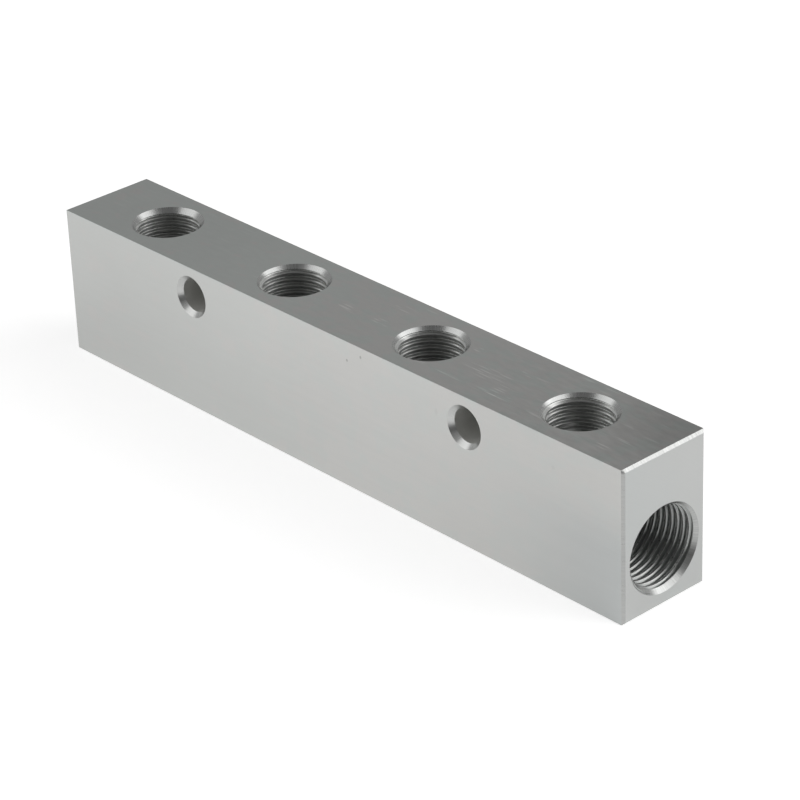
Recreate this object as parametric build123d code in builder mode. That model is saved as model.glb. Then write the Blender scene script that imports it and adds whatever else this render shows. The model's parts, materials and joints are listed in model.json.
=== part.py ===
from build123d import *
from math import radians, tan
import os

# Air manifold block: one length of aluminium bar, cross-drilled and tapped.
# Air enters at either end through an inlet, runs along the gallery between them and
# leaves through the row of outlets on top. Two plain holes go through from front to back.
# Sizes are in millimetres. The origin is the centre of the underside, X runs along the
# bar, -Y is the front face and +Z is the outlet face.
# Each tapped hole is bored to the core diameter of its thread.

# All ports have the parallel pipe thread of 19 to the inch, and a bevelled mouth
thread_depth = 0.856
port_bevel_angle = 90.0

# Inlets, G 3/8, one in each end face
inlet_thread = 16.662
inlet_mouth_step = 0.169
inlet_depth = 13.0
drill_point_angle = 118.0

# Outlets, G 1/4, in a row on the top face
outlet_thread = 13.157
outlet_mouth_step = 0.4215
outlet_count = 4
outlet_pitch = 37.0
end_margin = 19.5

# Mounting holes, clear for an M6 screw, from the front face to the back face
mount_hole = 6.6
mount_mouth_step = 0.9
mount_bevel_angle = 90.0

# Walls and edges of the bar
gallery_shoulder = 0.975
side_wall = 1.5
floor_wall = 2.5
web_over_gallery = 3.1
cover_over_mount_hole = 2.8
end_bevel = 0.5

# Port diameters, worked out from the threads
inlet_core = inlet_thread - 2 * thread_depth
inlet_mouth = inlet_thread + 2 * inlet_mouth_step
outlet_core = outlet_thread - 2 * thread_depth
outlet_mouth = outlet_thread + 2 * outlet_mouth_step
gallery = inlet_core - 2 * gallery_shoulder
mount_mouth = mount_hole + 2 * mount_mouth_step

# Heights above the underside, and the bar round them
gallery_height = floor_wall + inlet_mouth / 2
mount_height = gallery_height + gallery / 2 + web_over_gallery + mount_hole / 2
bar_height = mount_height + mount_hole / 2 + cover_over_mount_hole
bar_width = inlet_mouth + 2 * side_wall
bar_length = (outlet_count - 1) * outlet_pitch + 2 * end_margin

# Each mounting hole stands midway between the last two outlets at its end of the row
mount_spacing = (outlet_count - 2) * outlet_pitch


def cone_length(wide, narrow, full_angle):
    """Length of a cone between two diameters."""
    return (wide - narrow) / 2 / tan(radians(full_angle / 2))


with BuildPart() as manifold_block:
    # Sawn bar with all its long edges sharp and a small bevel round each end face
    with BuildSketch(Plane.YZ):
        Rectangle(bar_width, bar_height, align=(Align.CENTER, Align.MIN))
    extrude(amount=bar_length / 2, both=True)
    end_faces = manifold_block.faces().filter_by(Axis.X)
    chamfer(end_faces.edges(), end_bevel)

    # Bore from end to end: bevelled mouth, tapping hole, drill point, then the gallery
    mouth_x = bar_length / 2
    thread_x = mouth_x - cone_length(inlet_mouth, inlet_core, port_bevel_angle)
    point_x = mouth_x - inlet_depth
    gallery_x = point_x - cone_length(inlet_core, gallery, drill_point_angle)
    with BuildSketch(Plane.front.shift_origin((0, 0, gallery_height))):
        with BuildLine():
            Polyline(
                (0, gallery / 2),
                (gallery_x, gallery / 2),
                (point_x, inlet_core / 2),
                (thread_x, inlet_core / 2),
                (mouth_x, inlet_mouth / 2),
                (mouth_x, 0),
                (0, 0),
            )
            mirror(about=Plane.YZ)
        make_face()
    revolve(axis=Axis((0, 0, gallery_height), (1, 0, 0)), mode=Mode.SUBTRACT)

    # Outlets, down into the gallery
    with Locations(Plane.top.offset(bar_height)):
        with GridLocations(outlet_pitch, 0, outlet_count, 1):
            CounterSinkHole(
                radius=outlet_core / 2,
                counter_sink_radius=outlet_mouth / 2,
                depth=bar_height - gallery_height,
                counter_sink_angle=port_bevel_angle,
            )

    # Mounting holes, bevelled at both mouths
    for side in (Plane.front, Plane.back):
        with Locations(side.offset(bar_width / 2)):
            with Locations((-mount_spacing / 2, mount_height), (mount_spacing / 2, mount_height)):
                CounterSinkHole(
                    radius=mount_hole / 2,
                    counter_sink_radius=mount_mouth / 2,
                    counter_sink_angle=mount_bevel_angle,
                )

manifold_block.part.label = "manifold_block"

os.makedirs("parts", exist_ok=True)
export_step(manifold_block.part, "parts/manifold_block.step")
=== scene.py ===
# %% [markdown]
# # An air manifold block
#
# A manifold block shares compressed air. One hose or pipe screws into an end of the bar, the air
# runs through a long hole inside it, and four threaded outlets on top pass it on. It is a plain
# bar of aluminium, so everything that makes it look real is in three places: crisp edges, true
# screw threads in the holes, and metal that shows how each surface was cut.
#
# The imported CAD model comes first. It fixes the size and the place of everything that follows.

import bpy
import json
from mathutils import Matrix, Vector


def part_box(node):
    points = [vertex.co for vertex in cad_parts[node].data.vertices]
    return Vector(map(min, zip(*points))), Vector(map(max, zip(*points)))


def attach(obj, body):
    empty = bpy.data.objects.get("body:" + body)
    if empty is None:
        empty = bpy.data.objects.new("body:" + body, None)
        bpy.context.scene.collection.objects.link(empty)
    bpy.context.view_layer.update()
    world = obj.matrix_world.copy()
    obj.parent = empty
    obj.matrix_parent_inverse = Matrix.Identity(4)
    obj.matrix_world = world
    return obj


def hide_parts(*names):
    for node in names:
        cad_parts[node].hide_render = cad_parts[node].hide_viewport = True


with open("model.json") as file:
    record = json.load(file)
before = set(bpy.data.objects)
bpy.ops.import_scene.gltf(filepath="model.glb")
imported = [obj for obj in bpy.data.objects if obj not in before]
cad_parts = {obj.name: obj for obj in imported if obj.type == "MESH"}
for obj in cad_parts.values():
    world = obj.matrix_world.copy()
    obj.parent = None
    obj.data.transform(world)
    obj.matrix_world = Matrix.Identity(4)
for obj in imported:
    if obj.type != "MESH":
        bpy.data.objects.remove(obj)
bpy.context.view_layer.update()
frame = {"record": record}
low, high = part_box("manifold_block")
mounts = {mount["name"]: mount for mount in frame["record"]["mounts"]}
print("CAD box in metres:", [round(value, 4) for value in low], [round(value, 4) for value in high])
print("mounts:", ", ".join(mounts))

# %% [markdown]
# ## Camera
#
# The picture was taken from a little above and to the right, from far enough away for the long
# edges to run nearly parallel. A long lens gives that. The three angles turn the camera, and the
# point that it looks at lies a little to the side of the block's foot. A camera can also be
# placed by hand and aimed with a Track To constraint, but three angles and one distance say the
# same thing in numbers that can be adjusted one at a time.

# %% Camera
from math import cos, pi, radians, sin, tan

import bpy
from mathutils import Matrix, Vector

azimuth, elevation, roll = radians(48.297), radians(28.167), radians(2.277)
distance = 0.6015
aim_right, aim_up = 0.005907, 0.010320

forward = Vector((-sin(azimuth) * cos(elevation), cos(azimuth) * cos(elevation), -sin(elevation)))
level = forward.cross(Vector((0, 0, 1))).normalized()
plumb = forward.cross(level)
right = cos(roll) * level + sin(roll) * plumb
up = sin(roll) * level - cos(roll) * plumb

camera_data = bpy.data.cameras.new("camera")
camera_data.sensor_width = 36.0
camera_data.lens = 145.94
camera = bpy.data.objects.new("camera", camera_data)
place = aim_right * right + aim_up * up - distance * forward
camera.matrix_world = Matrix((
    (right.x, up.x, -forward.x, place.x),
    (right.y, up.y, -forward.y, place.y),
    (right.z, up.z, -forward.z, place.z),
    (0, 0, 0, 1),
))
bpy.context.scene.collection.objects.link(camera)
bpy.context.scene.camera = camera
bpy.context.scene.view_settings.view_transform = "Standard"
print("camera at", [round(value, 4) for value in place])

# %% [markdown]
# ## Shader maths as expressions
#
# Materials here are sums of patterns. In the node editor each plus or minus is a Math node with
# two wires. The class below wraps one output of a node, so that Python's own signs add those
# nodes: `1 - mask` makes a Subtract node. Any other node comes from the one method `node`, which
# takes the node's type, its settings and what its sockets receive.

# %% Shader maths
class Wire:
    """One output in a node tree. Python's signs on it add Math nodes."""

    def __init__(self, tree, output=None):
        self.tree = tree
        self.output = output

    def node(self, kind, settings, inputs, output=0):
        """Adds a node, applies its settings, feeds its sockets, and returns one of its outputs."""
        node = self.tree.nodes.new("ShaderNode" + kind)
        for name, value in settings.items():
            setattr(node, name, value)
        for name, value in inputs.items():
            if isinstance(value, Wire):
                self.tree.links.new(value.output, node.inputs[name])
            else:
                node.inputs[name].default_value = value
        return Wire(self.tree, node.outputs[output] if node.outputs else None)

    def maths(self, operation, *values):
        """A Math node that works on these values."""
        return self.node("Math", {"operation": operation}, dict(enumerate(values)))

    def __add__(self, other):
        return self.maths("ADD", self, other)

    def __radd__(self, other):
        return self.maths("ADD", other, self)

    def __sub__(self, other):
        return self.maths("SUBTRACT", self, other)

    def __rsub__(self, other):
        return self.maths("SUBTRACT", other, self)

    def __mul__(self, other):
        return self.maths("MULTIPLY", self, other)

    def __rmul__(self, other):
        return self.maths("MULTIPLY", other, self)

    def __pow__(self, other):
        return self.maths("POWER", self, other)

    def __abs__(self):
        return self.maths("ABSOLUTE", self)


def step_up(wire, start, end):
    """0 below start, 1 above end, and a smooth rise between them."""
    inputs = {"Value": wire, "From Min": start, "From Max": end}
    return wire.node("MapRange", {"interpolation_type": "SMOOTHSTEP"}, inputs)


def blend(factor, first, second):
    """Goes from the first colour to the second as the factor goes from 0 to 1."""
    return factor.node("Mix", {"data_type": "RGBA"}, {0: factor, 6: first, 7: second}, 2)


signs = ("add", "radd", "sub", "rsub", "mul", "rmul", "pow", "abs")
print("shader signs:", ", ".join(sign for sign in signs if hasattr(Wire, f"__{sign}__")))

# %% [markdown]
# ## Floor
#
# The block stands on a white sweep of paper. White paper under soft lamps renders as light grey,
# and turning the lamps up until it is white would burn out the metal. So the paper keeps a plain
# matt white, and two other versions of it glow a little. Light Path picks one of those for rays
# from the camera and the other for reflections, and the light on the block stays as it is. The
# shadow stays too, because all the versions are lit by the lamps.
#
# Paper on a table is lit best in its middle. What the metal mirrors of it therefore dims with the
# distance from the block, and soonest at the near edge, where the dark room begins.

# %% Floor
floor_half = 3.0
floor_white = (0.86, 0.86, 0.86, 1)
far_grey, near_grey = (0.64, 0.64, 0.64, 1), (0.07, 0.07, 0.07, 1)
glow_in_view, glow_in_metal = 0.72, 0.57
far_dim, near_dim = (0.15, 0.60), (0.063, 0.30)

floor_mesh = bpy.data.meshes.new("floor")
corners = [(x * floor_half, y * floor_half, 0) for x, y in ((-1, -1), (1, -1), (1, 1), (-1, 1))]
floor_mesh.from_pydata(corners, [], [(0, 1, 2, 3)])
floor = bpy.data.objects.new("floor", floor_mesh)
floor.location.z = low[2]
bpy.context.scene.collection.objects.link(floor)

paper = bpy.data.materials.new("paper")
paper.use_nodes = True
paper.node_tree.nodes.clear()
sheet = Wire(paper.node_tree)


def paper_skin(glow, tone=floor_white):
    """Matt paper that also gives off its own colour, at the strength of the glow."""
    return sheet.node("BsdfPrincipled", {}, {
        "Base Color": tone,
        "Roughness": 1.0,
        "Specular IOR Level": 0.0,
        "Emission Color": tone,
        "Emission Strength": glow,
    })


seen = sheet.node("LightPath", {}, {}, "Is Camera Ray")
mirrored = sheet.node("LightPath", {}, {}, "Is Glossy Ray")
through = sheet.node("LightPath", {}, {}, "Is Transmission Ray")
spot = sheet.node("TexCoord", {}, {}, "Object")
distance_out = sheet.node("VectorMath", {"operation": "LENGTH"}, {0: spot}, 1)
near_side = (sin(azimuth), -cos(azimuth), 0)
nearness = sheet.node("VectorMath", {"operation": "DOT_PRODUCT"}, {0: spot, 1: near_side}, 1)
dimmed = blend(step_up(distance_out, *far_dim), floor_white, far_grey)
dimmed = blend(step_up(nearness, *near_dim), dimmed, near_grey)
plain, bright = paper_skin(0.0), paper_skin(glow_in_metal, dimmed)
in_metal = sheet.node("MixShader", {}, {0: mirrored + through, 1: plain, 2: bright})
in_view = sheet.node("MixShader", {}, {0: seen, 1: in_metal, 2: paper_skin(glow_in_view)})
sheet.node("OutputMaterial", {}, {"Surface": in_view})
floor_mesh.materials.append(paper)
print("floor:", 2 * floor_half, "m square at height", floor.location.z)

# %% [markdown]
# ## Light
#
# Bare metal has hardly any look of its own: it shows the room. Two softboxes stand left and right
# of the camera, half way up. They show as the white arcs in the bevelled mouths, and the right one
# is the larger and brighter. Beside the right one a low bright screen puts the fine light lines
# into the threads, and on the left a pale wall lights their other side. Behind the block the room
# is a middle grey, which the top face mirrors. On the camera's side it is dark at the floor and
# lighter above.
#
# The room is the world's colour. Its Generated coordinate is the direction that a ray looks in, so
# its third number is the height that the ray looks at, and a dot product with the camera's own
# directions, which are plain numbers here, says how far to the side or behind the block it looks.

# %% Light
block_middle = Vector((0, 0, (low[2] + high[2]) / 2))


def softbox(name, turn, climb, width, height, watts, away=0.9):
    """A lamp that faces the block, turned from the camera's side and raised, both in degrees."""
    lamp = bpy.data.lights.new(name, "AREA")
    lamp.shape = "RECTANGLE"
    lamp.size = width
    lamp.size_y = height
    lamp.energy = watts
    holder = bpy.data.objects.new(name, lamp)
    ahead = Vector((forward.x, forward.y, 0)).normalized()
    flat = sin(radians(turn)) * level - cos(radians(turn)) * ahead
    direction = cos(radians(climb)) * flat + sin(radians(climb)) * Vector((0, 0, 1))
    holder.location = away * direction + block_middle
    holder.rotation_euler = direction.to_track_quat("Z", "Y").to_euler()
    bpy.context.scene.collection.objects.link(holder)
    print(name, "at", [round(value, 3) for value in holder.location])


softbox("softbox_right", turn=80, climb=40, width=1.14, height=0.60, watts=2.95)
softbox("softbox_left", turn=-86, climb=45, width=0.84, height=0.44, watts=1.15)

world = bpy.data.worlds.new("studio")
world.use_nodes = True
world.node_tree.nodes.clear()
bpy.context.scene.world = world
room = Wire(world.node_tree)
ray = room.node("TexCoord", {}, {}, "Generated")
height = room.node("SeparateXYZ", {}, {0: ray}, 2)
behind = room.node("VectorMath", {"operation": "DOT_PRODUCT"}, {0: ray, 1: forward}, 1)
sideways = room.node("VectorMath", {"operation": "DOT_PRODUCT"}, {0: ray, 1: level}, 1)


def grey(value):
    """A grey colour."""
    return (value, value, value, 1)


dark_foot, dim_wall, far_wall = grey(0.06), grey(0.26), grey(0.40)
bright_screen, pale_wall, dim_ceiling = grey(1.9), grey(0.64), grey(0.16)
near_wall = blend(step_up(height, 0.20, 0.50), dark_foot, dim_wall)
nearby = 1 - step_up(behind, -0.8, 0.3)
wall = blend(nearby, far_wall, near_wall)
screen = step_up(sideways, 0.74, 0.85) * (1 - step_up(behind, -0.08, 0.10))
wall = blend(screen * (1 - step_up(height, 0.46, 0.60)), wall, bright_screen)
left_wall = step_up(0 - sideways, 0.40, 0.62) * (1 - step_up(behind, 0.05, 0.30))
wall = blend(left_wall * (1 - step_up(height, 0.56, 0.68)), wall, pale_wall)
ceiling = blend(step_up(height, 0.45, 0.95), wall, dim_ceiling)
sky = room.node("Background", {}, {"Color": ceiling, "Strength": 1.0})
room.node("OutputWorld", {}, {"Surface": sky})
print("world nodes:", len(world.node_tree.nodes))

# %% [markdown]
# ## The bar
#
# The real block starts as a sawn length of drawn bar, with a small bevel milled round each end
# face. Four rectangles along the bar, joined by quads, give that shape: the outer two are smaller
# by the bevel. Blender's Bevel modifier would do the same, but it works on chosen edges, and
# naming four corners is shorter than choosing them.
#
# Every face gets a number for the tool that made it. After the holes are cut these numbers say
# where one tool's surface ends and another's begins.

# %% Bar
import bmesh

MM = 0.001
end_bevel = 0.5 * MM
tools = ("drawn", "sawn", "milled", "turned", "tapped", "drilled")
DRAWN, SAWN, MILLED, TURNED, TAPPED, DRILLED = range(len(tools))

bar = bmesh.new()


def ring_of(mesh, points):
    """New vertices at the points, in their order."""
    return [mesh.verts.new(point) for point in points]


def join_rings(mesh, one, two, cut):
    """Quads between two closed rings of vertices."""
    for here in range(len(one)):
        there = (here + 1) % len(one)
        face = mesh.faces.new((one[here], one[there], two[there], two[here]))
        face.material_index = cut
        face.smooth = True


def section(x, inset):
    """The corners of the bar's rectangle at one place along it."""
    y0, y1 = low[1] + inset, high[1] - inset
    z0, z1 = low[2] + inset, high[2] - inset
    return [(x, y0, z0), (x, y1, z0), (x, y1, z1), (x, y0, z1)]


stations = [(low[0], end_bevel), (low[0] + end_bevel, 0), (high[0] - end_bevel, 0), (high[0], end_bevel)]
rings = [ring_of(bar, section(x, inset)) for x, inset in stations]
for one, two, cut in zip(rings, rings[1:], (MILLED, DRAWN, MILLED)):
    join_rings(bar, one, two, cut)
for ring in (rings[0], rings[-1]):
    bar.faces.new(ring).material_index = SAWN
bmesh.ops.recalc_face_normals(bar, faces=bar.faces)
bar_mesh = bpy.data.meshes.new("threaded_block")
bar.to_mesh(bar_mesh)
bar.free()
block = bpy.data.objects.new("threaded_block", bar_mesh)
bpy.context.scene.collection.objects.link(block)
print("bar:", len(bar_mesh.polygons), "faces")

# %% [markdown]
# ## Drills and countersinks
#
# A drill leaves a hole that is round at every depth, so each one is made from its profile: pairs
# of distance along the axis and radius, turned round it. The result is a solid the shape of the
# air in the hole, which is then taken out of the bar. Modelling the air and not the wall keeps
# every hole a simple closed solid, even where a port breaks into the long gallery.

# %% Turned solids
sides, screw_sides = 96, 72
cutters = []


def keep_cutter(name, mesh):
    """Turns the built mesh into an object of its own, and puts it on the list of cutters."""
    data = bpy.data.meshes.new(name)
    mesh.to_mesh(data)
    mesh.free()
    cutter = bpy.data.objects.new(name, data)
    bpy.context.scene.collection.objects.link(cutter)
    cutters.append(cutter)


def placing_on(origin, axis):
    """The matrix that sets a shape, built round the Z axis, on the origin and along the axis."""
    return Matrix.Translation(origin) @ Vector(axis).to_track_quat("Z", "Y").to_matrix().to_4x4()


def turned_solid(name, profile, origin, axis, segments=sides):
    """A closed solid from (distance outward, radius, cut) rows, with the axis through origin."""
    mesh = bmesh.new()
    placing = placing_on(origin, axis)
    angles = [2 * pi * step / segments for step in range(segments)]
    rings = []
    for along, radius, cut in profile:
        points = [placing @ Vector((radius * cos(a), radius * sin(a), along)) for a in angles]
        rings.append((ring_of(mesh, points), cut))
    for (one, cut), (two, _) in zip(rings, rings[1:]):
        join_rings(mesh, one, two, cut)
    for ring, cut in (rings[0], rings[-1]):
        mesh.faces.new(ring).material_index = cut
    bmesh.ops.recalc_face_normals(mesh, faces=mesh.faces)
    keep_cutter(name, mesh)


print("sides of a turned solid:", sides, "or, for the screw holes,", screw_sides)

# %% [markdown]
# ## Sizes of the ports
#
# The ports have the parallel pipe thread with 19 turns to the inch: a thread of 55 degrees with
# rounded tops and roots. All its sizes follow from the pitch. The core radii, where the tops of a
# full thread lie, come from the frame's own record, so the scene can't drift away from the CAD
# model.

# %% Port sizes
pitch = 25.4 * MM / 19
thread_depth = 0.856 * MM
rounding = 0.137329 * pitch
flank = radians(27.5)

inlet_core = mounts["inlet_1"]["dims"]["r_mm"] * MM
outlet_core = mounts["outlet_1"]["dims"]["r_mm"] * MM
inlet_mouth, outlet_mouth = 8.5 * MM, 7.0 * MM
inlet_end, outlet_end = 13.0 * MM, 19.0 * MM
gallery_radius = 6.5 * MM
gallery_z = mounts["inlet_1"]["pos_m"][2]
outlet_places = [mounts[f"outlet_{number}"]["pos_m"][0] for number in (1, 2, 3, 4)]
print("core radii in mm:", round(inlet_core / MM, 3), "and", round(outlet_core / MM, 3))

# %% [markdown]
# ## Profiles of the holes
#
# Two surfaces that lie exactly on each other confuse a Boolean. So each solid of air reaches a
# little past the bar's face, the thread's own solid overlaps the drilled one by some slack, and
# walls that would meet differ by a hair. The far end of the long bore mirrors the near one.

# %% Holes
past = 0.6 * MM
slack = 0.4 * MM
hair = 0.005 * MM


def port_profile(mouth, core, thread_end):
    """The mouth's bevel, a core that the thread swallows, and the drilled wall under it."""
    return [
        (past, mouth + past, TURNED),
        (core - slack - mouth, core - slack, DRILLED),
        (-thread_end, core - slack, DRILLED),
        (-thread_end - hair, core + hair, DRILLED),
    ]


inlet_thread_end, outlet_thread_end = 11.0 * MM, 12.0 * MM
drill_half_angle = radians(59)
drill_point = (inlet_core - gallery_radius) / tan(drill_half_angle)
half = high[0]
left_half = port_profile(inlet_mouth, inlet_core, inlet_thread_end) + [
    (-inlet_end, inlet_core + hair, DRILLED),
    (-inlet_end - drill_point, gallery_radius, DRILLED),
]
right_half = [(-2 * half - along, radius) for along, radius, _ in reversed(left_half)]
right_cuts = [cut for _, _, cut in reversed(left_half)][1:] + [TURNED]
bore = left_half + [(along, radius, cut) for (along, radius), cut in zip(right_half, right_cuts)]
turned_solid("long_bore", bore, (half, 0, gallery_z), (1, 0, 0))

outlet_profile = port_profile(outlet_mouth, outlet_core, outlet_thread_end)
outlet_profile.append((-outlet_end, outlet_core + hair, DRILLED))
for number, x in enumerate(outlet_places, 1):
    turned_solid(f"outlet_bore_{number}", outlet_profile, (x, 0, high[2]), (0, 0, 1))

screw_radius = mounts["mounting_holes"]["dims"]["hole_r_mm"] * MM
screw_mouth = 4.2 * MM
screw_z = mounts["mounting_holes"]["pos_m"][2]
screw_half = mounts["mounting_holes"]["dims"]["spacing_x_mm"] * MM / 2
bar_width = high[1] - low[1]
screw_profile = [
    (past, screw_mouth + past, TURNED),
    (screw_radius - screw_mouth, screw_radius, DRILLED),
    (-bar_width + screw_mouth - screw_radius, screw_radius, TURNED),
    (-bar_width - past, screw_mouth + past, TURNED),
]
for number, x in enumerate((-screw_half, screw_half), 1):
    on_front = (x, low[1], screw_z)
    turned_solid(f"screw_bore_{number}", screw_profile, on_front, (0, -1, 0), screw_sides)
print("cutters:", ", ".join(cutter.name for cutter in cutters))

# %% [markdown]
# ## Threads
#
# A screw thread is one groove that winds down the wall. Many models fake it with stacked rings or
# with a bump map, and both give themselves away at the mouth, where a real groove runs out
# through the bevel on one side only. Here the air in the thread is a tube whose rows of vertices
# climb by one pitch in each turn, so that every row meets the next one after a full circle. The
# radius along the tube follows the standard's form, with straight sides and a round root. The
# drill has left the tops flat, with small round corners. Near its lower end the tap only began to
# cut, so the groove fades there.

# %% Thread form
lean = pi / 2 - flank
flat_corner = 0.06 * MM
inlet_flat, outlet_flat = 0.20 * MM, 0.28 * MM


def arc(radius, start, end, steps):
    """(along, inward) points on an arc that turns between two angles."""
    angles = [start + (end - start) * step / steps for step in range(steps + 1)]
    return [(radius * sin(a), radius * (1 - cos(a))) for a in angles]


def thread_form(flat):
    """(place in the pitch, depth of the cut) over one turn. The drill left the tops flat at a depth."""
    corner_steps, root_steps = 3, 5
    corner_place = pitch / 4 - (thread_depth / 2 - flat) * tan(flank)
    corner_centre = corner_place - flat_corner * tan(lean / 2)
    corner = arc(flat_corner, 0, lean, corner_steps)
    rise = [(corner_centre + along, flat + inward) for along, inward in corner]
    fall = [(-along, inward) for along, inward in reversed(rise)]
    bottom = arc(rounding, -lean, lean, root_steps)
    root = [(pitch / 2 + along, thread_depth - inward) for along, inward in bottom]
    return fall + rise + root


print("rows of vertices in a pitch:", len(thread_form(inlet_flat)))


# %% Tapped solids
def thread_rows(mesh, form, core, thread_end, placing, phase, segments):
    """Rows of vertices up the air's tube. Each climbs by one pitch as it goes round."""
    fade, sunk, above, spare_pitches = 2.0 * pitch, 0.3 * MM, 1.2 * pitch, 3
    pitches = int((thread_end + fade) / pitch) + spare_pitches
    foot = above - pitches * pitch
    angles = [2 * pi * step / segments for step in range(segments)]
    rows = []
    for row in range(pitches * len(form)):
        turn, place = divmod(row, len(form))
        offset, cut_depth = form[place]
        ring = []
        for angle in angles:
            along = foot + turn * pitch + offset + pitch * angle / (2 * pi)
            share = min(1.0, max(0.0, (along + thread_end + fade) / fade))
            radius = core + cut_depth * share - sunk * (1 - share)
            swing = angle + radians(phase)
            ring.append(placing @ Vector((radius * cos(swing), radius * sin(swing), along)))
        rows.append(ring_of(mesh, ring))
    return rows


def tapped_solid(name, form, core, thread_end, origin, axis, phase, segments):
    """The air in a thread. The phase turns the groove round its axis, in degrees."""
    mesh = bmesh.new()
    placing = placing_on(origin, axis)
    rows = thread_rows(mesh, form, core, thread_end, placing, phase, segments)
    step_rows = len(form)
    for row, (one, two) in enumerate(zip(rows, rows[1:])):
        for here in range(segments - 1):
            mesh.faces.new((one[here], one[here + 1], two[here + 1], two[here]))
        if row + 1 + step_rows < len(rows):
            one_on, two_on = rows[row + step_rows], rows[row + 1 + step_rows]
            mesh.faces.new((one[-1], one_on[0], two_on[0], two[-1]))
    lower = rows[0] + [row[0] for row in reversed(rows[1:step_rows + 1])]
    upper = rows[-1] + [row[-1] for row in reversed(rows[-1 - step_rows:-1])]
    for rim in (lower, upper):
        rim_height = (placing.inverted() @ rim[0].co).z
        centre = mesh.verts.new(placing @ Vector((0, 0, rim_height + pitch / 2)))
        for here, corner in enumerate(rim):
            mesh.faces.new((corner, rim[(here + 1) % len(rim)], centre))
    for face in mesh.faces:
        face.material_index = TAPPED
        face.smooth = True
    bmesh.ops.recalc_face_normals(mesh, faces=mesh.faces)
    loose = sum(1 for edge in mesh.edges if len(edge.link_faces) != 2)
    print(name, len(mesh.faces), "faces,", loose, "open edges")
    keep_cutter(name, mesh)


phases = {
    "inlet_1": 40, "inlet_2": 168,
    "outlet_1": 197, "outlet_2": 108, "outlet_3": 98, "outlet_4": 82,
}
outlet_sides = 80
for name, phase in phases.items():
    axis = Vector(mounts[name]["axis"])
    mouth = Vector(mounts[name]["pos_m"])
    title = f"thread_{name}"
    if name.startswith("inlet"):
        mouth.x = axis.x * half
        form = thread_form(inlet_flat)
        tapped_solid(title, form, inlet_core, inlet_thread_end, mouth, axis, phase, sides)
    else:
        mouth.z = high[2]
        form = thread_form(outlet_flat)
        tapped_solid(title, form, outlet_core, outlet_thread_end, mouth, axis, phase, outlet_sides)

# %% [markdown]
# ## Cutting
#
# One Boolean modifier for each cutter takes the air out of the bar. The cutters' face numbers come
# along as material indices, so afterwards an edge between two different numbers is an edge
# that a tool left, and it stays sharp. Within one tool's surface the faces blend into each other.

# %% Cutting
for cut in range(len(tools)):
    stand_in = bpy.data.materials.new(f"cut_{cut}")
    bar_mesh.materials.append(stand_in)
    for cutter in cutters:
        cutter.data.materials.append(stand_in)

for cutter in cutters:
    modifier = block.modifiers.new(cutter.name, "BOOLEAN")
    modifier.object = cutter
    modifier.operation = "DIFFERENCE"
    modifier.solver = "MANIFOLD"

graph = bpy.context.evaluated_depsgraph_get()
finished = bpy.data.meshes.new_from_object(block.evaluated_get(graph))
block.modifiers.clear()
block.data = finished
for cutter in cutters:
    bpy.data.objects.remove(cutter)
finished.name = "threaded_block"
triangles = sum(len(face.vertices) - 2 for face in finished.polygons)
print("cut block:", len(finished.polygons), "faces,", triangles, "triangles")
for cut, tool in enumerate(tools):
    print("  ", tool, sum(1 for face in finished.polygons if face.material_index == cut))

# %% Edges
mesh = bmesh.new()
mesh.from_mesh(finished)
weld, sharp_angle = 0.0002 * MM, radians(38)
bmesh.ops.remove_doubles(mesh, verts=mesh.verts, dist=weld)
bmesh.ops.dissolve_degenerate(mesh, edges=mesh.edges, dist=weld)
sharp = 0
for face in mesh.faces:
    face.smooth = True
for edge in mesh.edges:
    faces = edge.link_faces
    if len(faces) != 2:
        continue
    parted = faces[0].material_index != faces[1].material_index
    edge.smooth = not (parted or edge.calc_face_angle(0) > sharp_angle)
    sharp += not edge.smooth
open_edges = sum(1 for edge in mesh.edges if len(edge.link_faces) != 2)
volume = mesh.calc_volume()
mesh.to_mesh(finished)
mesh.free()
print("sharp edges:", sharp, "open edges:", open_edges, "volume in mm3:", round(volume / MM**3))

# %% [markdown]
# ## Round mouths
#
# Blender shades a corner with the average of its faces. Where a thread breaks through a bevel, the
# cut leaves corners that have only one of the bevel's narrow faces, and the bevel would show as
# flat strips. But the bevel is a cone, whose slant is known everywhere, so each corner on it is
# given that direction. Many more strips would hide the fault as well, at the cost of faces.

# %% Round mouths
mouths = []
for name in phases:
    axis = Vector(mounts[name]["axis"])
    place = (axis.x * half, 0, gallery_z) if axis.x else (mounts[name]["pos_m"][0], 0, high[2])
    mouths.append((Vector(place), axis))
for x in (-screw_half, screw_half):
    for y, way in ((low[1], -1), (high[1], 1)):
        mouths.append((Vector((x, y, screw_z)), Vector((0, way, 0))))

normals = [(0, 0, 0)] * len(finished.loops)
for face in finished.polygons:
    if face.material_index != TURNED:
        continue
    centre, axis = min(mouths, key=lambda mouth: (face.center - mouth[0]).length)
    for loop in face.loop_indices:
        outward = finished.vertices[finished.loops[loop].vertex_index].co - centre
        outward -= outward.dot(axis) * axis
        normals[loop] = (axis - outward.normalized()).normalized()
finished.normals_split_custom_set(normals)
print("corners with a cone's normal:", sum(1 for normal in normals if any(normal)))

# %% [markdown]
# ## Aluminium
#
# One metal, shaped in six ways. The colour hardly changes over the block. What changes is the
# surface: a tool leaves fine grooves, and the direction of the grooves decides where the light
# goes. So every finish below is much the same grey metal with its own tool marks, given as a
# height to a Bump node and as small changes of colour and roughness. All patterns are measured in
# metres on the object itself, which keeps their scale true and needs no unwrapping.

# %% Metal
METAL = (0.575, 0.582, 0.572, 1)


print("plain metal:", METAL[:3])


def begin(name):
    """A new material without nodes, and the wire to start its expressions from."""
    material = bpy.data.materials.new(name)
    material.use_nodes = True
    material.node_tree.nodes.clear()
    return material, Wire(material.node_tree)


def point_on(start):
    """The point of the surface in the object's own metres."""
    return start.node("TexCoord", {}, {}, "Object")


def parts_of(point):
    """The three numbers of a point."""
    return [point.node("SeparateXYZ", {}, {0: point}, axis) for axis in range(3)]


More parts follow.
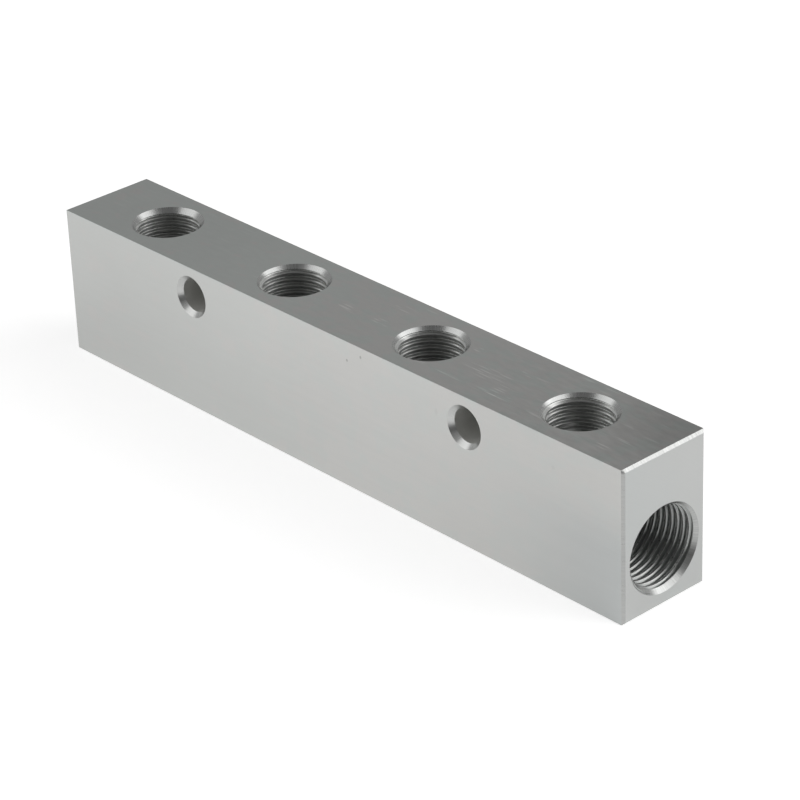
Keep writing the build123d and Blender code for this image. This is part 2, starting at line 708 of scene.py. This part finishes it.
def stretched(point, x, y, z):
    """The point scaled along each axis, for patterns that run along one of them."""
    return point.node("VectorMath", {"operation": "MULTIPLY"}, {0: point, 1: (x, y, z)})


def noise(point, scale, detail=2.0, roughness=0.5):
    """Cloudy values about 0.5."""
    inputs = {"Vector": point, "Scale": scale, "Detail": detail, "Roughness": roughness}
    return point.node("TexNoise", {"noise_dimensions": "3D"}, inputs)


def line_noise(value, scale, detail=2.0):
    """Values about 0.5 that change along one number only."""
    inputs = {"W": value, "Scale": scale, "Detail": detail}
    return value.node("TexNoise", {"noise_dimensions": "1D"}, inputs)


def shade(factor, amount):
    """A grey multiplier for a colour: 1 at a factor of 0.5, more above it and less below."""
    return 1 + (factor - 0.5) * amount


def tint(colour, multiplier):
    """A colour times a value."""
    even = multiplier.node("CombineColor", {}, {0: multiplier, 1: multiplier, 2: multiplier})
    settings = {"data_type": "RGBA", "blend_type": "MULTIPLY"}
    return multiplier.node("Mix", settings, {0: 1.0, 6: colour, 7: even}, 2)


def bumped(height, reach, strength=1.0):
    """The surface's normal, tilted by a height pattern. The reach is the height's range in metres."""
    return height.node("Bump", {}, {"Height": height, "Distance": reach, "Strength": strength})


def close(material, start, colour, roughness, normal, metallic=1.0):
    """Ends the expressions of a material in its shader, and gives the material back."""
    inputs = {"Base Color": colour, "Metallic": metallic, "Roughness": roughness, "Normal": normal}
    skin = start.node("BsdfPrincipled", {}, inputs)
    start.node("OutputMaterial", {}, {"Surface": skin})
    print(material.name, "has", len(material.node_tree.nodes), "nodes")
    return material


# %% [markdown]
# ## Drawn faces
#
# The four long faces come from the drawing die. Grain finer than the eye resolves runs along the
# bar and softens what the metal mirrors. The metal has faint green and brown clouds. It is painted a
# little lighter in the middle of the bar, a painted sheen, and darker near one corner of the top at
# the near end, a painted shade on a patch that is also a little duller. Low down at the near end it
# is painted darker and bluer, a painted shade. Handling has rubbed the top, most at the near end,
# and has left fine pale scratches along the bar and a few dents in front.
#
# The scratches lie in loose groups that have places of their own. Each group is an ellipsoid with
# a middle and a reach, and inside it a flat Voronoi pattern, stretched along the bar, gives one
# mark in each cell. Painting them by hand would look as good, but only from one place.

# %% Drawn faces
drawn, start = begin("drawn_face")
point = point_on(start)
x, _, z = parts_of(point)
FRONT_GREEN, TOP_GREEN = (0.572, 0.582, 0.568, 1), (0.559, 0.585, 0.567, 1)
# The last colour is a painted shade, for the metal low down at the near end.
BROWN, FOOT_SHADE_COLOUR = (0.582, 0.581, 0.567, 1), (0.509, 0.525, 0.521, 1)

clouds = noise(point, 55, 3.0)
top_only = step_up(z, high[2] - 0.5 * MM, high[2] - 0.1 * MM)
warmth = noise(stretched(point, 1, 1.4, 1.4), 190, 2.0, 0.6)
warmth = warmth + step_up(x, -0.030, 0.000) * 0.15 - 0.12
green = blend(top_only, FRONT_GREEN, TOP_GREEN)
colour = blend(step_up(warmth, 0.44, 0.56), green, BROWN)

grain = noise(stretched(point, 30, 4200, 4200), 1.0, 2.0)
streaks = noise(stretched(point, 22, 900, 900), 1.0, 3.0)


def patches(point, places):
    """1 inside any of the ellipsoids and 0 outside. Each is (middle, reach) in millimetres."""
    total = 0.0
    for middle, reach in places:
        shrink = [1 / (size * MM) for size in reach]
        shift = [-place / size for place, size in zip(middle, reach)]
        offset = point.node("VectorMath", {"operation": "MULTIPLY_ADD"}, {0: point, 1: shrink, 2: shift})
        distance = point.node("VectorMath", {"operation": "LENGTH"}, {0: offset}, 1)
        total = (1 - step_up(distance, 0.5, 1.0)) + total
    return total


def dashes(point, length, spread, share, seed):
    """Thin marks along the bar: cells of a flat Voronoi pattern with long narrow cores."""
    sizes = {0: point, 1: (1 / length, 1 / spread, 0), 2: (seed, seed, 0)}
    cells = {"Vector": point.node("VectorMath", {"operation": "MULTIPLY_ADD"}, sizes), "Scale": 1.0}
    flat = {"feature": "F1", "voronoi_dimensions": "2D"}
    near = point.node("TexVoronoi", flat, cells, "Distance")
    lot = point.node("SeparateColor", {}, {0: point.node("TexVoronoi", flat, cells, "Color")}, 0)
    return (1 - step_up(near, 0.12, 0.42)) * step_up(lot, 1 - share, 1 - 0.6 * share)


scuffs = [
    ((36.0, -1.2, 30), (9.0, 2.4, 1)),
    ((41.0, -4.8, 30), (3.2, 2.2, 1)),
    ((33.0, 6.5, 30), (5.5, 0.7, 1)),
    ((40.0, 3.4, 30), (2.6, 0.8, 1)),
    ((67.0, -2.7, 30), (4.6, 0.9, 1)),
    ((66.0, -6.2, 30), (3.0, 0.9, 1)),
    ((71.0, -7.0, 30), (3.4, 0.8, 1)),
    ((69.6, 6.6, 30), (2.6, 0.8, 1)),
    ((6.0, -0.6, 30), (2.6, 1.4, 1)),
    ((5.5, 6.0, 30), (3.2, 1.1, 1)),
    ((26.4, 4.0, 30), (1.2, 1.0, 1)),
    ((-3.5, -0.8, 30), (2.4, 1.2, 1)),
    ((42.0, -6.2, 30), (36.0, 0.6, 1)),
]
grouped = dashes(point, length=5.8 * MM, spread=0.52 * MM, share=0.90, seed=0.0)
stray = dashes(point, length=5.6 * MM, spread=0.80 * MM, share=0.06, seed=7.3)
marks = grouped * patches(point, scuffs) + stray * (0.15 + step_up(x, -0.020, 0.030) * 0.5)
marks = marks * top_only
rubbed = noise(stretched(point, 300, 1000, 0), 1.0, 4.0, 0.6)
rubbing = (0.10 + step_up(x, 0.020, 0.060) * 0.26) * top_only

dents = [((6.9, -10, 26.2), (0.32, 1, 0.36)), ((10.6, -10, 28.1), (0.30, 1, 0.42))]
faint_spots = [((30.0, -10, 24.4), (0.5, 1, 0.9)), ((58.7, -10, 24.4), (0.5, 1, 0.5))]
specks = patches(point, dents) + patches(point, faint_spots) * 0.15

# A patch near one corner of the top at the near end: painted shade in its colour, and a little more
# roughness.
dull_shaded_spot = (0.078, 0.012, 0.030)
corner = point.node("VectorMath", {"operation": "DISTANCE"}, {0: point, 1: dull_shaded_spot}, 1)
dull_shaded_patch = (1 - step_up(corner, 0.006, 0.026)) * top_only
# Painted shade: low down at the near end the colour turns darker and bluer.
foot = (1 - step_up(z, 0.012, 0.024)) * step_up(x, 0.040, 0.074)
# Painted light: the colour is a little lighter in the middle of the bar.
middle = 1 - step_up(abs(x), 0.010, 0.070)

level_of_grey = shade(clouds, 0.06) * shade(streaks, 0.05) * (0.975 + middle * 0.07)
level_of_grey = level_of_grey * shade(rubbed, rubbing)
level_of_grey = level_of_grey * (1 + marks * 0.27) * (1 - specks * 0.34) * (1 - dull_shaded_patch * 0.24)
colour = tint(blend(foot, colour, FOOT_SHADE_COLOUR), level_of_grey)
roughness = 0.30 + (clouds - 0.5) * 0.06 + (streaks - 0.5) * 0.06 + marks * 0.06 + dull_shaded_patch * 0.05
normal = bumped(grain + marks * 1.5, 0.0006 * MM)
drawn = close(drawn, start, colour, roughness, normal)

# %% [markdown]
# ## Faced ends and their bevels
#
# A cutter faces each end after sawing, and leaves shallow arcs far wider than the bar. The
# bevels round the ends are milled last. Their marks run across the narrow strip, so the top one
# sparkles along its length. The upright ones are smoother, and their colour is painted darker
# toward the foot, a painted shade. One corner has a darker spot. A node that looks for edges
# could place such changes, but a height and a place say it as well here, and cost nothing.

# %% Faced ends
faced, start = begin("faced_end")
point = point_on(start)
FACED_GREEN, FACED_BROWN = (0.511, 0.531, 0.524, 1), (0.524, 0.532, 0.524, 1)
cutter_centre = (0, -0.035, -0.02)
on_face = {0: stretched(point, 0, 1, 1), 1: cutter_centre}
sweep = point.node("VectorMath", {"operation": "DISTANCE"}, on_face, 1)
arcs = line_noise(sweep, 2600, 2.0)
clouds = noise(point, 60, 3.0)
warmth = step_up(noise(point, 45, 1.0), 0.35, 0.65)
colour = tint(blend(warmth, FACED_GREEN, FACED_BROWN), shade(clouds, 0.05) * shade(arcs, 0.03))
roughness = 0.30 + (clouds - 0.5) * 0.05 + (arcs - 0.5) * 0.05
faced = close(faced, start, colour, roughness, bumped(arcs, 0.0006 * MM))

# %% Milled bevels
milled, start = begin("milled_bevel")
point = point_on(start)
_, y, z = parts_of(point)
outward = start.node("NewGeometry", {}, {}, "Normal")
upright = step_up(abs(start.node("SeparateXYZ", {}, {0: outward}, 1)), 0.45, 0.55)
along = y * (1 - upright) + z * upright
strokes = line_noise(along, 2100, 3.0)
wide_strokes = line_noise(along, 420, 2.0)
# A darker spot at one corner of the end.
dark_spot_place = ((75.0, -10.0, 29.8), (0.8, 0.7, 0.7))
dark_spot = patches(point, [dark_spot_place])
# Painted shade: the upright bevels get darker toward the foot.
shade_by_height = 0.75 + step_up(z, 0.010, 0.030) * 0.13
level_of_grey = shade(strokes, 0.60 - upright * 0.38) * shade(wide_strokes, 0.24 - upright * 0.14)
level_of_grey = level_of_grey * (0.80 * (1 - upright) + shade_by_height * upright) * (1 - dark_spot * 0.5)
colour = tint(METAL, level_of_grey)
roughness = 0.30 + (strokes - 0.5) * 0.16
milled = close(milled, start, colour, roughness, bumped(strokes, 0.006 * MM))

# %% [markdown]
# ## Turned bevels and the screw holes
#
# A countersink turns the bevelled mouths. It leaves rings, and because it chatters a little in
# soft metal, also faint strokes across them. On a bevel of 45 degrees a ring is a line of constant
# depth, so the rings need only the distance along the port's axis. The strokes need the angle
# round the axis. The four outlets share one pattern: wrapping x at the distance between two of
# them lays all their axes on the same line, and an absolute value does that for the screw holes.
# The bevels of the inlets and outlets are set a little darker than the plain metal.
#
# The walls of the screw holes are plain drilled metal, torn by the drill's edge and dull. They
# scatter light more than they mirror it, so they are set as a grey that is hardly metallic.

# %% Round the ports
outlet_pitch = outlet_places[1] - outlet_places[0]


def from_axis(start, port):
    """The two distances of a point from the axis of its own port, and its place along it."""
    x, y, z = parts_of(point_on(start))
    if port == "inlet":
        return y, z - gallery_z, x
    if port == "screw":
        return abs(x) - screw_half, z - screw_z, y
    return x.maths("WRAP", x, outlet_pitch, 0.0) - outlet_pitch / 2, y, z


def turned_finish(port, metal, dullness, chatter):
    """The bevel at a port's mouth. The chatter is the strength of the strokes across it."""
    material, start = begin(f"{port}_bevel")
    across, beside, along = from_axis(start, port)
    strokes = line_noise(across.maths("ARCTAN2", across, beside), 26.0, 3.0)
    rings = line_noise(along, 5200, 3.0)
    clouds = noise(point_on(start), 320, 2.0)
    colour = tint(metal, shade(rings, 0.10) * shade(strokes, chatter) * shade(clouds, 0.10))
    roughness = dullness + (clouds - 0.5) * 0.10 + (strokes - 0.5) * 0.10
    normal = bumped(rings + strokes * (2 * chatter), 0.005 * MM)
    return close(material, start, colour, roughness, normal)


DULL_METAL = (0.570, 0.570, 0.546, 1)


def drilled_finish(port):
    """A plain wall, with faint rings and little gloss."""
    material, start = begin(f"{port}_wall")
    _, _, along = from_axis(start, port)
    rings = line_noise(along, 2400, 3.0)
    clouds = noise(point_on(start), 260, 2.0)
    colour = tint(DULL_METAL, shade(rings, 0.10) * shade(clouds, 0.08))
    roughness = 0.60 + (clouds - 0.5) * 0.10
    return close(material, start, colour, roughness, bumped(rings, 0.004 * MM), 0.10)


print("outlets repeat every", round(outlet_pitch, 4), "m")

# %% [markdown]
# ## Tapped walls
#
# Two surfaces meet in a thread. The tops are what the drill left, and the tap cut the flanks, which
# are smoother. Both follow from the distance to the port's axis, so one number blends between them.
# In the inlets the flanks are set darker than the tops, a painted shade in the grooves. In the
# outlets both are set lighter than the plain metal, painted light inside the holes. The metal is set
# a little under fully metallic: dried cutting oil scatters some light, and without it the depths
# would be black.
#
# One side of each hole is painted darker, a painted shade, most of all on the tops. In an inlet it
# starts a little below the mouth. A dot product with the direction of that side says how near to it
# a point of the wall lies.

# %% Tapped walls
INLET_BEVEL, OUTLET_BEVEL = (0.450, 0.456, 0.448, 1), (0.480, 0.486, 0.478, 1)
# The inlet's flank colour is darker than the metal, painted shade in the grooves; the outlet's thread
# colours are lighter than it, painted light in the holes.
INLET_FLANK_SHADED = (0.382, 0.396, 0.385, 1)
OUTLET_TOP_LIGHTENED, OUTLET_FLANK_LIGHTENED = (0.720, 0.729, 0.716, 1), (0.690, 0.701, 0.683, 1)
# The side of each hole that gets a painted shade, as an angle round its axis.
shaded_sides = {"inlet": radians(-38.829), "outlet": radians(138.297)}
rims = {"inlet": half, "outlet": high[2]}


def side_shade_on(port, across, beside, along, top, shade_start):
    """1 on the side of a hole that gets painted shade, below a starting depth, and 0 elsewhere."""
    side = shaded_sides[port]
    nearness = (across * cos(side) + beside * sin(side)) * (1 / top)
    below_rim = rims[port] - abs(along)
    return step_up(nearness, 0.66, 0.93) * step_up(below_rim, shade_start, shade_start + 1.2 * MM)


def tapped_finish(port, top, colours, side_shade_amounts, shade_start, dullness, metallic):
    """The wall of a thread. Colours and painted side shade are for its tops and for its flanks."""
    material, start = begin(f"{port}_wall")
    across, beside, along = from_axis(start, port)
    radius = (across * across + beside * beside) ** 0.5
    clouds = noise(point_on(start), 450, 3.0)
    drag = line_noise(along, 9000, 2.0)
    flank = step_up(radius, top + 0.03 * MM, top + 0.10 * MM)
    on_tops, on_flanks = side_shade_amounts
    # Painted shade on one side of the hole, more on the tops than on the flanks.
    side_shade = side_shade_on(port, across, beside, along, top, shade_start)
    painted_side_shade = side_shade * (on_tops + flank * (on_flanks - on_tops))
    # Tops and flanks blended: painted shade in the inlets' grooves, painted light in the outlets.
    colour = blend(flank, *colours)
    colour = tint(colour, shade(clouds, 0.20) * shade(drag, 0.12) * (1 - painted_side_shade))
    roughness = dullness - flank * 0.08 + (clouds - 0.5) * 0.10
    return close(material, start, colour, roughness, bumped(clouds + drag, 0.004 * MM), metallic)


inlet_tops, outlet_tops = inlet_core + inlet_flat, outlet_core + outlet_flat
inlet_colours, outlet_colours = (METAL, INLET_FLANK_SHADED), (OUTLET_TOP_LIGHTENED, OUTLET_FLANK_LIGHTENED)
finishes = [
    drawn, faced, milled,
    turned_finish("inlet", INLET_BEVEL, dullness=0.32, chatter=0.5),
    tapped_finish(
        "inlet", inlet_tops, inlet_colours,
        side_shade_amounts=(0.48, 0.09), shade_start=2.0 * MM, dullness=0.28, metallic=0.68,
    ),
    turned_finish("screw", METAL, dullness=0.30, chatter=0.2),
    drilled_finish("screw"),
    turned_finish("outlet", OUTLET_BEVEL, dullness=0.27, chatter=0.12),
    tapped_finish(
        "outlet", outlet_tops, outlet_colours,
        side_shade_amounts=(0.58, 0.36), shade_start=0.0, dullness=0.32, metallic=0.81,
    ),
]

# %% [markdown]
# ## Finishes on their faces
#
# Every face still has the number of its tool. The tool alone doesn't say which port it cut, and
# the finishes need that, so the place of the face's middle decides between inlet, screw hole and
# outlet. The gallery counts with the inlets, since the same drill made it.

# %% Finishes on their faces
plain_finishes = {DRAWN: "drawn_face", SAWN: "faced_end", MILLED: "milled_bevel"}
numbers = {finish.name: number for number, finish in enumerate(finishes)}
counts = [0] * len(finishes)


def port_of(middle, cut):
    """The kind of port whose wall has a face with this middle."""
    from_end = half - abs(middle.x)
    to_screw = max(abs(abs(middle.x) - screw_half), abs(middle.z - screw_z))
    if from_end < inlet_end + drill_point and middle.z < gallery_z + inlet_mouth:
        return "inlet"
    if to_screw < screw_mouth + past:
        return "screw"
    if cut == DRILLED and abs(middle.z - gallery_z) < gallery_radius + hair:
        return "inlet"
    return "outlet"


cuts = [face.material_index for face in finished.polygons]
finished.materials.clear()
for finish in finishes:
    finished.materials.append(finish)
for face, cut in zip(finished.polygons, cuts):
    if cut in plain_finishes:
        name = plain_finishes[cut]
    else:
        name = port_of(face.center, cut) + ("_bevel" if cut == TURNED else "_wall")
    face.material_index = numbers[name]
    counts[numbers[name]] += 1
print("faces:", ", ".join(f"{finish.name} {count}" for finish, count in zip(finishes, counts)))

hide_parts("manifold_block")
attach(block, "root")

# %% [markdown]
# ## Finish
#
# Threads and finishes mustn't make the block larger than its CAD model.

# %% Finish
import json
